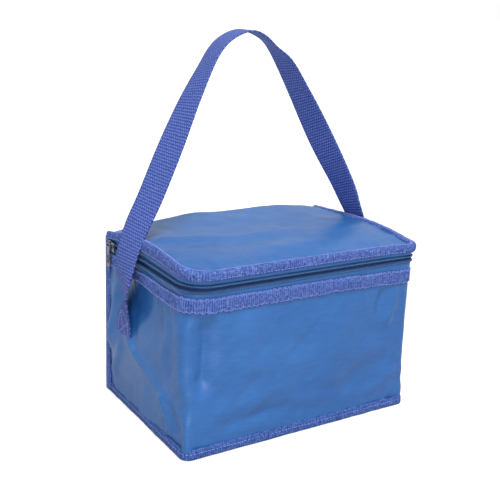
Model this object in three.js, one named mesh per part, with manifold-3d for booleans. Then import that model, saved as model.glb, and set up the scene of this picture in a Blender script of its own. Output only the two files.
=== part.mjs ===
// An insulated cooler bag: a zipped box of nylon cloth over foam, with a wipe-clean lining,
// bound seams, a lid that folds open at the back and one carrying handle of flat webbing.
// Millimetres, +Z up, +X to the bag's right, -Y to its front. Origin: middle of the base, on the floor.
import * as THREE from "three";
import { mergeVertices } from "three/addons/utils/BufferGeometryUtils.js";
import Module from "manifold-3d";

const wasm = await Module();
wasm.setup();

// Driving dimensions
const WIDTH = 219; // over the bound seams, left to right
const DEPTH = 148; // over the bound seams, front to back
const FLANGE = 2.5; // how far a bound seam stands out of the cloth
const GAP = 0.3; // air kept between neighbouring pieces
const CORNER = 5; // radius of the two front corners, at the outer cloth
const CLOTH = 0.8;
const FOAM = 3;
const LINING = 0.4;
const TAPE = 0.5; // zip tape

// Heights above the floor
const BASE_BINDING_TOP = 8.5;
const BAND_BOTTOM = 115;
const BAND_TOP = 127;
const FOAM_TOP = 120;
const ZIP_LINE = 133.5; // the level at which the zip parts
const COIL_HEIGHT = 2.7;
const COIL_GAP = 0.7; // from the zip line to each row of coil
const SEAM_TOP = 144.7; // the fold that the lid turns on
const LID_BINDING_BOTTOM = 140;
const LID_BINDING_TOP = 147.5;
const LID_CROWN = 8;

// Carrying handle
const WEBBING_WIDTH = 25;
const WEBBING = 1.5;
const HANDLE_Y = 15;
const HANDLE_FOLD = 150; // where the free loop begins to turn

const halfWidth = WIDTH / 2;
const halfDepth = DEPTH / 2;
const clothX = halfWidth - FLANGE;
const clothY = halfDepth - FLANGE;
const foamX = clothX - CLOTH - GAP;
const foamY = clothY - CLOTH - GAP;
const liningX = foamX - FOAM - GAP;
const liningY = foamY - FOAM - GAP;
const sideRear = clothY - CLOTH - GAP; // rear end of what wraps the two sides
const baseFoamBottom = CLOTH + GAP;
const baseFoamTop = baseFoamBottom + FOAM;

const colours = {
  nylon: [0x2f62ad, 0.45, 0],
  webbing: [0x4b50b4, 0.85, 0],
  binding: [0x4f52b0, 0.85, 0],
  foam: [0xf2f2ee, 0.9, 0],
  lining: [0xe9ecee, 0.35, 0],
  zip: [0x1d3f78, 0.6, 0],
  metal: [0xb9bec6, 0.3, 1],
  thread: [0x5a5fc4, 0.8, 0],
};

const group = new THREE.Group();

function add(name, colour, geometry) {
  const [color, roughness, metalness] = colours[colour];
  const mesh = new THREE.Mesh(geometry, new THREE.MeshStandardMaterial({ color, roughness, metalness }));
  mesh.name = name;
  group.add(mesh);
  return mesh;
}

// Geometry helpers -----------------------------------------------------------------------------

function arc(cx, cy, radius, from, to, steps = 6) {
  return Array.from({ length: steps + 1 }, (_, i) => {
    const angle = from + ((to - from) * i) / steps;
    return new THREE.Vector2(cx + radius * Math.cos(angle), cy + radius * Math.sin(angle));
  });
}

// A plan outline with two round front corners and a straight back.
function planOutline(x, y, rear, radius) {
  return [
    new THREE.Vector2(-x, rear),
    ...arc(-x + radius, -y + radius, radius, Math.PI, 1.5 * Math.PI),
    ...arc(x - radius, -y + radius, radius, 1.5 * Math.PI, 2 * Math.PI),
    new THREE.Vector2(x, rear),
  ];
}

function extrude(points, bottom, top, holes = []) {
  const shape = new THREE.Shape(points);
  shape.holes = holes.map((hole) => new THREE.Path(hole));
  const geometry = new THREE.ExtrudeGeometry(shape, { depth: top - bottom, bevelEnabled: false });
  return geometry.translate(0, 0, bottom);
}

// A band of cloth that runs round the left side, the front and the right side. offset is how far its
// outer face lies outside the outer cloth.
function wrap(offset, thickness, bottom, top, rear) {
  const outer = planOutline(clothX + offset, clothY + offset, rear, CORNER + offset);
  const inner = planOutline(
    clothX + offset - thickness,
    clothY + offset - thickness,
    rear,
    CORNER + offset - thickness,
  );
  return extrude([...outer, ...inner.reverse()], bottom, top);
}

function block(x0, x1, y0, y1, z0, z1) {
  const box = new THREE.BoxGeometry(x1 - x0, y1 - y0, z1 - z0);
  return box.translate((x0 + x1) / 2, (y0 + y1) / 2, (z0 + z1) / 2);
}

// Turns a geometry drawn in local X, Y and extruded along local Z to stand on the left side:
// local X becomes Y, local Y becomes Z and local Z becomes X.
function ontoSide(geometry) {
  const basis = new THREE.Matrix4().makeBasis(
    new THREE.Vector3(0, 1, 0),
    new THREE.Vector3(0, 0, 1),
    new THREE.Vector3(1, 0, 0),
  );
  return geometry.applyMatrix4(basis);
}

function geometryFrom(positions, triangles) {
  const geometry = new THREE.BufferGeometry();
  geometry.setAttribute("position", new THREE.Float32BufferAttribute(positions, 3));
  geometry.setIndex(triangles);
  geometry.computeVertexNormals();
  return geometry;
}

// A plate of even thickness over an outline, domed upwards in the middle.
function domedPlate(outline, edge, crown, thickness) {
  const shares = [1, 0.88, 0.7, 0.45, 0.2];
  const positions = [];
  const triangles = [];
  const n = outline.length;
  const rise = (share) => crown * (1 - share ** 3);
  for (const lift of [thickness, 0]) {
    for (const share of shares)
      for (const p of outline) positions.push(p.x * share, p.y * share, edge + lift + rise(share));
    positions.push(0, 0, edge + lift + rise(0));
  }
  const layer = n * shares.length + 1;
  for (let side = 0; side < 2; side++) {
    const face = (a, b, c) => (side ? triangles.push(a, c, b) : triangles.push(a, b, c));
    const start = side * layer;
    for (let i = 0; i < n; i++) {
      const j = (i + 1) % n;
      for (let r = 0; r < shares.length - 1; r++) {
        const [a, b] = [start + r * n + i, start + r * n + j];
        face(a, b, b + n);
        face(a, b + n, a + n);
      }
      face(start + (shares.length - 1) * n + i, start + (shares.length - 1) * n + j, start + layer - 1);
      if (side) triangles.push(i, start + i, start + j, i, start + j, j);
    }
  }
  return geometryFrom(positions, triangles);
}

// A flat strap along a curve. across(t) gives the direction of its width at each share t of the way.
function strap(curve, across, steps) {
  const positions = [];
  const triangles = [];
  for (let i = 0; i <= steps; i++) {
    const t = i / steps;
    const centre = curve.getPointAt(t);
    const along = curve.getTangentAt(t);
    const wide = across(t).addScaledVector(along, -across(t).dot(along)).normalize();
    const normal = new THREE.Vector3().crossVectors(along, wide);
    for (const [u, v] of [[-1, -1], [1, -1], [1, 1], [-1, 1]]) {
      const corner = centre
        .clone()
        .addScaledVector(wide, (u * WEBBING_WIDTH) / 2)
        .addScaledVector(normal, (v * WEBBING) / 2);
      positions.push(corner.x, corner.y, corner.z);
    }
    for (let k = 0; i < steps && k < 4; k++) {
      const [a, b] = [4 * i + k, 4 * i + ((k + 1) % 4)];
      triangles.push(a, b, b + 4, a, b + 4, a + 4);
    }
  }
  const last = 4 * steps;
  triangles.push(0, 2, 1, 0, 3, 2, last, last + 1, last + 2, last, last + 2, last + 3);
  return geometryFrom(positions, triangles);
}

function solid(geometry) {
  const bare = (geometry.index ? geometry.toNonIndexed() : geometry).clone();
  bare.deleteAttribute("normal");
  bare.deleteAttribute("uv");
  const merged = mergeVertices(bare, 1e-4);
  return new wasm.Manifold(
    new wasm.Mesh({
      numProp: 3,
      vertProperties: new Float32Array(merged.attributes.position.array),
      triVerts: new Uint32Array(merged.index.array),
    }),
  );
}

function geometryOf(manifold) {
  const mesh = manifold.getMesh();
  return geometryFrom(Array.from(mesh.vertProperties), Array.from(mesh.triVerts));
}

function join(...geometries) {
  return geometryOf(geometries.map(solid).reduce((all, next) => all.add(next)));
}

// Base: cloth, foam and lining ------------------------------------------------------------------

const inset = (by) => planOutline(clothX - by, clothY - by, clothY - by, CORNER - by);
add("base_outer_panel", "nylon", extrude(inset(0), 0, CLOTH));
add("base_foam", "foam", extrude(inset(CLOTH + GAP), baseFoamBottom, baseFoamTop));
const liningBottom = baseFoamTop + GAP;
const liningInset = CLOTH + FOAM + 2 * GAP;
add("base_lining", "lining", extrude(inset(liningInset), liningBottom, liningBottom + LINING));

// Walls: one wrap round left, front and right, and a separate back --------------------------------

const wallBottom = CLOTH + GAP;
const stripBottom = BAND_BOTTOM + 3;
const innerRear = foamY - FOAM - GAP; // rear end of the foam and lining of the sides
add("wall_outer_panel", "nylon", wrap(0, CLOTH, wallBottom, stripBottom - GAP, sideRear));
add("wall_foam", "foam", wrap(-CLOTH - GAP, FOAM, baseFoamTop + GAP, FOAM_TOP, innerRear));
add(
  "wall_lining",
  "lining",
  wrap(-liningInset, LINING, liningBottom + LINING + GAP, BAND_TOP, innerRear - LINING - GAP),
);
const foldTop = SEAM_TOP - 0.2;
const backTop = SEAM_TOP - 7; // the back's foam and lining stop below those of the lid
add("back_outer_panel", "nylon", block(-clothX, clothX, clothY - CLOTH, clothY, wallBottom, foldTop));
add("back_foam", "foam", block(-foamX, foamX, foamY - FOAM, foamY, baseFoamTop + GAP, backTop));
add(
  "back_lining",
  "lining",
  block(-liningX, liningX, liningY - LINING, liningY, liningBottom + LINING + GAP, backTop),
);

// Zip, with the strip of cloth on each side of it ---------------------------------------------------

const zipRear = clothY - 6;
const coilBottom = ZIP_LINE - COIL_GAP - COIL_HEIGHT;
const coilTop = ZIP_LINE + COIL_GAP + COIL_HEIGHT;
const COIL = 2.3; // how far the coil stands out of its tape
const tapeOffset = -CLOTH - GAP;
add("zip_strip_lower", "nylon", wrap(0, CLOTH, stripBottom, coilBottom - GAP, sideRear));
add("zip_strip_upper", "nylon", wrap(0, CLOTH, coilTop + GAP, foldTop, sideRear));
add("zip_tape_lower", "zip", wrap(tapeOffset, TAPE, FOAM_TOP + GAP, ZIP_LINE - COIL_GAP, zipRear));
add("zip_tape_upper", "zip", wrap(tapeOffset, TAPE, ZIP_LINE + COIL_GAP, LID_BINDING_BOTTOM + 0.5, zipRear));
const coilOffset = tapeOffset + 0.2 + COIL;
add("zip_coil_lower", "zip", wrap(coilOffset, COIL, coilBottom, ZIP_LINE - COIL_GAP, zipRear));
add("zip_coil_upper", "zip", wrap(coilOffset, COIL, ZIP_LINE + COIL_GAP, coilTop, zipRear));

// Trim band that covers the join below the zip, and the bound seams ----------------------------------

const bindingDepth = FLANGE - GAP;
const bindingRear = clothY - 4.8; // where the seams round the sides meet those up the rear corners
add("trim_band", "binding", wrap(GAP + CLOTH, CLOTH, BAND_BOTTOM, BAND_TOP, bindingRear));
add("binding_base", "binding", wrap(FLANGE, bindingDepth, 0, BASE_BINDING_TOP, bindingRear));
add(
  "binding_lid",
  "binding",
  wrap(FLANGE, bindingDepth, LID_BINDING_BOTTOM, LID_BINDING_TOP, clothY - 0.5),
);

// The bound seam up each rear corner turns round the corner, so its section is an L.
function cornerBinding(side) {
  const outline = [
    [clothX + GAP, bindingRear + GAP],
    [halfWidth, bindingRear + GAP],
    [halfWidth, halfDepth],
    [clothX - 5, halfDepth],
    [clothX - 5, clothY + GAP],
    [clothX + GAP, clothY + GAP],
  ].map(([x, y]) => new THREE.Vector2(side * x, y));
  return extrude(side > 0 ? outline : outline.reverse(), 0, LID_BINDING_BOTTOM - 0.5);
}
add("binding_back_left", "binding", cornerBinding(-1));
add("binding_back_right", "binding", cornerBinding(1));

// Lid: cloth, foam and lining, one above the other ---------------------------------------------------

const lidRear = clothY - GAP;
const lidOutline = (by) => planOutline(clothX - by, clothY - by, lidRear - by, CORNER - by);
const lidCloth = SEAM_TOP + 0.1;
const lidFoam = lidCloth - GAP - FOAM;
const lidInset = CLOTH + GAP;
add("lid_outer_panel", "nylon", domedPlate(lidOutline(0), lidCloth, LID_CROWN, CLOTH));
add("lid_foam", "foam", domedPlate(lidOutline(lidInset), lidFoam, LID_CROWN, FOAM));
const lidLining = lidFoam - GAP - LINING;
add("lid_lining", "lining", domedPlate(lidOutline(lidInset), lidLining, LID_CROWN, LINING));

// Zip slider, closed at the rear of the left side, and its puller --------------------------------------

const SLIDER_Y = clothY - 11;
const SLIDER_LENGTH = 12;
const WING = 1.2;
const LEG_Y = 3; // from the slider's middle to the leg that the puller hangs on
const PULLER = 1;
const coilFace = -(clothX + coilOffset);
const wingFace = coilFace - GAP - WING; // outer face of the outer wing
const pullerFace = wingFace - 0.4; // inner face of the puller
const beamInside = pullerFace - PULLER - 0.4;
const beamOutside = beamInside - 1;

function wing(from, to, wide, narrow) {
  const nose = SLIDER_LENGTH / 2;
  const outline = [
    [-nose, -narrow],
    [nose - 2, -wide],
    [nose, -wide + 1.5],
    [nose, wide - 1.5],
    [nose - 2, wide],
    [-nose, narrow],
  ].map(([y, z]) => new THREE.Vector2(y, z));
  return ontoSide(extrude(outline, from, to));
}

const tapeInside = -(clothX + tapeOffset - TAPE);
const postHalf = COIL_GAP - GAP;
const slider = join(
  wing(wingFace, wingFace + WING, 4.8, 3.8),
  wing(tapeInside + GAP, tapeInside + GAP + 0.8, 4.2, 3.4),
  block(wingFace + 0.5, tapeInside + GAP + 0.5, 2, 5, -postHalf, postHalf),
  block(beamInside - 0.3, wingFace + 0.3, -LEG_Y - 0.7, -LEG_Y + 0.7, -0.8, 0.8),
  block(beamInside - 0.3, wingFace + 0.3, LEG_Y - 0.7, LEG_Y + 0.7, -0.8, 0.8),
  block(beamOutside, beamInside, -LEG_Y - 0.7, LEG_Y + 0.7, -0.8, 0.8),
);
add("zip_slider", "metal", slider.translate(0, SLIDER_Y, ZIP_LINE));

const EYE = 3.4; // outer radius of the puller's eye
const PULLER_LENGTH = 19; // from the eye's centre to the tip
const pullerOutline = [
  ...arc(0, 0, EYE, -0.25 * Math.PI, 1.25 * Math.PI, 14),
  new THREE.Vector2(-2.2, -6),
  new THREE.Vector2(-3.4, -PULLER_LENGTH + 2.5),
  ...arc(0, -PULLER_LENGTH + 3.4, 3.4, 1.15 * Math.PI, 1.85 * Math.PI, 6),
  new THREE.Vector2(3.4, -PULLER_LENGTH + 2.5),
  new THREE.Vector2(2.2, -6),
];
const eyeHole = arc(0, 0, 2, 0, 2 * Math.PI, 16).slice(0, -1);
const slot = [
  [-0.9, -7.5],
  [-1.4, -PULLER_LENGTH + 4],
  [1.4, -PULLER_LENGTH + 4],
  [0.9, -7.5],
].map(([x, y]) => new THREE.Vector2(x, y));
const puller = ontoSide(extrude(pullerOutline, pullerFace - PULLER, pullerFace, [eyeHole, slot]));
add("zip_puller", "metal", puller.translate(0, SLIDER_Y + LEG_Y, ZIP_LINE));

// Carrying handle: two sewn ends and the free loop between them ------------------------------------------

const SEWN_BOTTOM = 60;
const sewnX = clothX + GAP + WEBBING / 2;
const endPoints = [
  [sewnX, 27, SEWN_BOTTOM],
  [sewnX, 25, 70],
  [sewnX, 23, 80],
  [sewnX, 21.6, 88],
  [sewnX + 1.4, 20.5, 95],
  [sewnX + 5, 18.5, 101.5],
  [sewnX + 7.8, 16.6, 109],
  [sewnX + 9, HANDLE_Y, 118],
  [sewnX + 9.2, HANDLE_Y, 128],
  [sewnX + 8.4, HANDLE_Y, 138],
  [sewnX + 8, HANDLE_Y, 144],
  [sewnX + 8, HANDLE_Y, HANDLE_FOLD - 0.2],
];
const alongY = () => new THREE.Vector3(0, 1, 0);
function handleEnd(side) {
  const points = endPoints.map(([x, y, z]) => new THREE.Vector3(side * x, y, z));
  return strap(new THREE.CatmullRomCurve3(points), alongY, 26);
}
add("handle_end_left", "webbing", handleEnd(-1));
add("handle_end_right", "webbing", handleEnd(1));

// The loop stands over the lid, leans a little to the back and is turned a little at the top.
const foldX = sewnX + 8;
const LOOP_TURN = (25 * Math.PI) / 180;
const loopPoints = [
  [-foldX, HANDLE_Y, HANDLE_FOLD + 0.2],
  [-foldX, HANDLE_Y, HANDLE_FOLD + 5],
  [-103, 12, 181],
  [-86, 12, 219],
  [-66, 19, 257],
  [-47, 29, 286],
  [-26, 36, 303],
  [-4, 40, 310],
  [14, 42, 309],
  [30, 44, 301],
  [45, 45, 287],
  [64, 43, 256],
  [84, 35, 219],
  [103, 25, 181],
  [foldX, HANDLE_Y, HANDLE_FOLD + 5],
  [foldX, HANDLE_Y, HANDLE_FOLD + 0.2],
].map(([x, y, z]) => new THREE.Vector3(x, y, z));
function loopAcross(t) {
  const turn = LOOP_TURN * Math.min(1, 6 * t, 6 * (1 - t));
  return new THREE.Vector3(-Math.sin(turn), Math.cos(turn), 0);
}
add("handle_webbing", "webbing", strap(new THREE.CatmullRomCurve3(loopPoints), loopAcross, 60));

// A box of stitches with a cross in it holds each sewn end.
const STITCH = 0.5;
function boxStitch(side) {
  const [w, h] = [9.5, 11];
  const face = side * (clothX + GAP + WEBBING + 0.15 + STITCH / 2);
  const bar = (length, turn, y, z) => {
    const piece = new THREE.BoxGeometry(STITCH, 0.9, length).rotateX(turn);
    return piece.translate(0, y, z);
  };
  const diagonal = Math.atan2(w, h);
  const stitches = join(
    bar(2 * h + 0.9, 0, -w, 0),
    bar(2 * h + 0.9, 0, w, 0),
    bar(2 * w + 0.9, Math.PI / 2, 0, -h),
    bar(2 * w + 0.9, Math.PI / 2, 0, h),
    bar(2 * Math.hypot(w, h), diagonal, 0, 0),
    bar(2 * Math.hypot(w, h), -diagonal, 0, 0),
  );
  const tilt = Math.atan2(27 - 23, 80 - SEWN_BOTTOM);
  return stitches.rotateX(tilt).translate(face, 24.4, 73);
}
add("handle_stitch_left", "thread", boxStitch(-1));
add("handle_stitch_right", "thread", boxStitch(1));

export default group;
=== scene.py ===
"""The looks of an insulated cooler bag: nylon cloth, bound seams, a coil zip and a webbing handle."""

import math

import bpy
import numpy as np
from mathutils import Matrix, Vector, noise


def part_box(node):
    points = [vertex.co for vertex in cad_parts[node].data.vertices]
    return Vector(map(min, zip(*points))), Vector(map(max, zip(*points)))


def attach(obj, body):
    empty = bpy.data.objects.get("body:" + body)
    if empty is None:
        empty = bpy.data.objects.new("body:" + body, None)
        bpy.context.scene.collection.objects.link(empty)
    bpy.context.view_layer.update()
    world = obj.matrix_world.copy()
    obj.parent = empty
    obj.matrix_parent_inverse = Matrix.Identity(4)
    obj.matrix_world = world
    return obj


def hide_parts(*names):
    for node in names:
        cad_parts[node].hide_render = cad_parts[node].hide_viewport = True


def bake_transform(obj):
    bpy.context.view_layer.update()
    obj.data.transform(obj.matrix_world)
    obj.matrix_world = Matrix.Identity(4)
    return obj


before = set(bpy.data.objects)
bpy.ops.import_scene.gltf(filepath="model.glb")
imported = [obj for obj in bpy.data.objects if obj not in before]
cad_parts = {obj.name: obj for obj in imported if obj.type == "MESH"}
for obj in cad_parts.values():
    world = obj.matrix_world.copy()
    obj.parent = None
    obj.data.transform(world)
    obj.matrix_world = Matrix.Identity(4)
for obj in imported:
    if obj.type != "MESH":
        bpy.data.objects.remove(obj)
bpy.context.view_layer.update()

MM = 0.001

# ------------------------------
# Camera


def make_camera():
    """The viewing angle: from the left of the front, a little above, with a slight roll."""
    azimuth, elevation, roll = math.radians(-32.78), math.radians(16.09), math.radians(-2.51)
    target = Vector((-9.5, 2.9, 134.0)) * MM
    distance = 706.1 * MM
    right = Vector((math.cos(azimuth), math.sin(azimuth), 0))
    back = Vector(
        (
            math.sin(azimuth) * math.cos(elevation),
            -math.cos(azimuth) * math.cos(elevation),
            math.sin(elevation),
        )
    )
    up = back.cross(right)
    across = math.cos(roll) * right - math.sin(roll) * up
    upward = math.sin(roll) * right + math.cos(roll) * up
    data = bpy.data.cameras.new("camera")
    data.lens = 60.67
    data.sensor_width = 36
    camera = bpy.data.objects.new("camera", data)
    rotation = Matrix((across, upward, back)).transposed().to_4x4()
    camera.matrix_world = Matrix.Translation(target + distance * back) @ rotation
    bpy.context.scene.collection.objects.link(camera)
    bpy.context.scene.camera = camera


make_camera()

# ------------------------------
# Measures, taken from the frame

CLOTH_X, CLOTH_Y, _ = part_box("back_outer_panel")[1]
(_, _, RIM_BOTTOM), (RIM_X, _, RIM_TOP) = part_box("binding_lid")
FLANGE = RIM_X - CLOTH_X
BAND_BOTTOM, BAND_TOP = (corner[2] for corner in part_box("trim_band"))
BASE_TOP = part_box("binding_base")[1][2]
ZIP_LINE = (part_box("zip_coil_lower")[1][2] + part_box("zip_coil_upper")[0][2]) / 2
COIL_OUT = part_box("zip_coil_lower")[1][0] - CLOTH_X
LINING_X, LINING_Y, LINING_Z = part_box("base_lining")[1]
COIL_MIDDLE = 2.05 * MM  # from the zip line to the middle of each row of coil
COIL_EDGE = 3.4 * MM  # and to its far side
TAPES_APART = 0.15 * MM  # from the zip line to the edge of each tape
WEBBING_ROW = 2.5 * MM  # from one row of floats in the webbing to the next
CORNER = 5 * MM
ROUND_LEFT = 20 * MM  # the front corners are soft higher up, the left one most
ROUND_RIGHT = 8 * MM

# ------------------------------
# The path that the cloth takes round the left end, the front and the right end

SIDE = CLOTH_Y * 2 - CORNER
BEND = CORNER * math.pi / 2
FRONT = 2 * (CLOTH_X - CORNER)
LENGTH = 2 * SIDE + 2 * BEND + FRONT
FRONT_LEFT = SIDE + BEND / 2  # the middle of each front corner, along the path
FRONT_RIGHT = LENGTH - FRONT_LEFT


def outline(s, radius):
    """Points and outward normals on a plan outline whose front corners have the given radius."""
    s = np.asarray(s, float)
    mirrored = s > LENGTH / 2
    t = np.where(mirrored, LENGTH - s, s)
    side, bend = CLOTH_Y * 2 - radius, radius * math.pi / 2
    t = np.interp(t, [0, FRONT_LEFT, LENGTH / 2], [0, side + bend / 2, side + bend + CLOTH_X - radius])
    turn = np.clip((t - side) / radius, 0, math.pi / 2)
    x = -CLOTH_X + radius - radius * np.cos(turn) + np.maximum(t - side - bend, 0)
    y = CLOTH_Y - np.minimum(t, side) - radius * np.sin(turn)
    flip = np.where(mirrored, -1, 1)
    return np.stack([x * flip, y, -np.cos(turn) * flip, -np.sin(turn)])


def along(s, z=0.0):
    """Points and outward normals of the cloth in plan, whose front corners are softer higher up."""
    s, z = np.broadcast_arrays(np.asarray(s, float), np.asarray(z, float))
    soft = smooth((z - 8 * MM) / (80 * MM))
    upper = np.where(s < LENGTH / 2, outline(s, ROUND_LEFT), outline(s, ROUND_RIGHT))
    x, y, nx, ny = outline(s, CORNER) * (1 - soft) + upper * soft
    size = np.hypot(nx, ny)
    return x, y, nx / size, ny / size


def rim_rise(x, y):
    """How far the lid's rim stands off its drawn height: arched along each end, low at the rear."""
    depth = np.clip((y + CLOTH_Y) / (2 * CLOTH_Y), 0, 1)
    end = smooth((np.abs(x) / CLOTH_X - 0.2) / 0.8)
    arch = np.where(x < 0, 6.0 * MM, 4.0 * MM) * np.sin(math.pi * depth**0.85) ** 1.2
    dip = np.where(x < 0, 3.6 * MM, 0.0) * smooth((depth - 0.72) / 0.28)
    corner = -1.6 * MM * bump(np.hypot(x - CLOTH_X, y + CLOTH_Y), 0, 30 * MM)
    return end * (arch - dip) + corner


def lift(x, y, z):
    """How far the rim's rise lifts a point: in full at the rim, and not at all at the zip line or below."""
    share = np.clip((z - ZIP_LINE) / (RIM_TOP - ZIP_LINE), 0, 1)
    return rim_rise(x, y) * share**0.8


def path_steps(step, start=0.0, end=None):
    """Places along the path about step apart, closer together in the two corners."""
    end = LENGTH if end is None else end
    fine = np.linspace(start, end, int((end - start) / (0.1 * MM)))
    bend = np.exp(-((fine - FRONT_LEFT) / BEND) ** 2) + np.exp(-((fine - FRONT_RIGHT) / BEND) ** 2)
    density = np.cumsum(1 + 1.5 * bend)
    density = (density - density[0]) / (density[-1] - density[0])
    count = int((end - start) / step) + 12
    return np.interp(np.linspace(0, 1, count), density, fine)


def smooth(t):
    t = np.clip(t, 0, 1)
    return t * t * (3 - 2 * t)


def bump(x, centre, width):
    """A rounded hill, 1 at its centre."""
    return np.exp(-(((x - centre) / width) ** 2))


def cloud(x, y, scale, seed, octaves=2):
    """Smooth seeded noise over two coordinates, about -1 to 1."""
    x, y = np.broadcast_arrays(np.asarray(x, float), np.asarray(y, float))
    flat = [
        noise.fractal(Vector((a / scale, b / scale, seed * 7.31)), 1.0, 2.0, octaves)
        for a, b in zip(x.ravel(), y.ravel())
    ]
    return np.array(flat).reshape(x.shape)


def distances(points):
    """How far along a line of points each one is."""
    return np.concatenate([[0], np.cumsum(np.linalg.norm(np.diff(points, axis=0), axis=1))])


def unit(vectors):
    return vectors / np.linalg.norm(vectors, axis=1)[:, None]


def mesh_object(name, points, faces, uvs=None):
    mesh = bpy.data.meshes.new(name)
    mesh.from_pydata([tuple(p) for p in points], [], [tuple(int(i) for i in f) for f in faces])
    if uvs is not None:
        layer = mesh.uv_layers.new(name="UVMap")
        loops = np.empty(len(mesh.loops), dtype=np.int32)
        mesh.loops.foreach_get("vertex_index", loops)
        layer.data.foreach_set("uv", np.asarray(uvs, np.float32)[loops].ravel())
    mesh.polygons.foreach_set("use_smooth", [True] * len(mesh.polygons))
    mesh.update()
    piece = bpy.data.objects.new(name, mesh)
    bpy.context.scene.collection.objects.link(piece)
    return piece


def grid_faces(rows, columns, close_columns=False, start=0):
    faces = []
    across = columns if close_columns else columns - 1
    for i in range(rows - 1):
        for j in range(across):
            a, b = start + i * columns + j, start + i * columns + (j + 1) % columns
            faces.append((a, a + columns, b + columns, b))
    return faces


def caps(rows, columns, start=0):
    """The two end faces of a tube of rings."""
    last = start + (rows - 1) * columns
    return [tuple(range(start, start + columns)), tuple(reversed(range(last, last + columns)))]


def sheet(name, points, us, vs, thickness=0.0, outside=1.0):
    """A sheet from a grid of points, (rows, columns, 3), with its lengths as texture coordinates."""
    rows, columns, _ = points.shape
    u, v = np.meshgrid(us, vs, indexing="ij")
    uvs = np.stack([u, v], -1).reshape(-1, 2)
    piece = mesh_object(name, points.reshape(-1, 3), grid_faces(rows, columns), uvs)
    if thickness:
        solid = piece.modifiers.new("thickness", "SOLIDIFY")
        solid.thickness = thickness
        solid.offset = -outside
    return piece


def wrapped(s, offsets, heights):
    """Points at an offset from the cloth's outline and a height, for arrays of the same shape."""
    x, y, nx, ny = along(s, heights)
    return np.stack([x + nx * offsets, y + ny * offsets, heights + lift(x, y, heights)], -1)


# ------------------------------
# Materials


class Nodes:
    """A small helper that adds shader nodes to one material and links them."""

    def __init__(self, name, roughness, metallic=0.0):
        self.material = bpy.data.materials.new(name)
        self.material.use_nodes = True
        self.tree = self.material.node_tree
        self.shader = self.tree.nodes["Principled BSDF"]
        self.shader.inputs["Roughness"].default_value = roughness
        self.shader.inputs["Metallic"].default_value = metallic

    def add(self, kind, **values):
        node = self.tree.nodes.new(kind)
        for key, value in values.items():
            if key in node.inputs:
                node.inputs[key].default_value = value
            else:
                setattr(node, key, value)
        return node

    def link(self, output, target):
        self.tree.links.new(output, target)

    def math(self, operation, a, b=None, c=None):
        node = self.add("ShaderNodeMath", operation=operation)
        for i, value in enumerate((a, b, c)):
            if value is None:
                continue
            if isinstance(value, (int, float)):
                node.inputs[i].default_value = value
            else:
                self.link(value, node.inputs[i])
        return node.outputs[0]

    def uv(self):
        if not hasattr(self, "_uv"):
            split = self.add("ShaderNodeSeparateXYZ")
            self.link(self.add("ShaderNodeTexCoord").outputs["UV"], split.inputs[0])
            self._uv = split.outputs["X"], split.outputs["Y"]
        return self._uv

    def noise(self, scale, detail=2.0, stretch=(1, 1, 1)):
        mapping = self.add("ShaderNodeMapping")
        mapping.inputs["Scale"].default_value = stretch
        self.link(self.add("ShaderNodeTexCoord").outputs["Object"], mapping.inputs[0])
        node = self.add("ShaderNodeTexNoise", Scale=scale, Detail=detail)
        self.link(mapping.outputs[0], node.inputs["Vector"])
        return node.outputs["Fac"]

    def wave(self, coordinate, pitch):
        """A rounded ridge every pitch metres, 0 to 1."""
        turn = self.math("MULTIPLY", coordinate, 2 * math.pi / pitch)
        return self.math("MULTIPLY_ADD", self.math("SINE", turn), 0.5, 0.5)

    def mix(self, factor, first, second):
        ramp = self.add("ShaderNodeMix", data_type="RGBA")
        self.link(factor, ramp.inputs["Factor"])
        for socket, value in ((ramp.inputs["A"], first), (ramp.inputs["B"], second)):
            if isinstance(value, tuple):
                socket.default_value = (*value, 1)
            else:
                self.link(value, socket)
        return ramp.outputs["Result"]

    def colour(self, output):
        self.link(output, self.shader.inputs["Base Color"])

    def relief(self, height, distance, strength=1.0):
        node = self.add("ShaderNodeBump", Distance=distance, Strength=strength)
        self.link(height, node.inputs["Height"])
        self.link(node.outputs[0], self.shader.inputs["Normal"])


def coated_nylon():
    """Fine plain-weave nylon with a clear coating: smooth, a little glossy, slightly uneven in tone."""
    n = Nodes("coated_nylon", 0.36)
    u, v = n.uv()
    weave = n.math("MULTIPLY", n.wave(u, 0.5 * MM), n.wave(v, 0.45 * MM))
    tone = n.noise(22, 3)
    streak = n.noise(60, 2, stretch=(1, 1, 0.25))
    grain = n.noise(230, 3, stretch=(0.5, 0.5, 3))
    base = n.mix(tone, (0.018, 0.115, 0.35), (0.036, 0.165, 0.45))
    patch = n.math("MULTIPLY_ADD", n.noise(9, 2), 1.6, -0.45)
    shade = n.math("MULTIPLY_ADD", grain, 0.7, n.math("MULTIPLY", patch, 0.5))
    grained = n.mix(n.math("MAXIMUM", shade, 0.0), base, (0.008, 0.07, 0.25))
    n.colour(n.mix(n.math("MULTIPLY", weave, 0.2), grained, (0.006, 0.075, 0.27)))
    rough = n.math("MULTIPLY_ADD", streak, 0.22, 0.27)
    n.link(rough, n.shader.inputs["Roughness"])
    crumple = n.noise(420, 3)
    height = n.math("ADD", n.math("MULTIPLY", weave, 0.35), n.math("MULTIPLY", crumple, 1.2))
    n.relief(height, 0.12 * MM, 0.5)
    n.shader.inputs["Specular IOR Level"].default_value = 0.5
    return n.material


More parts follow.
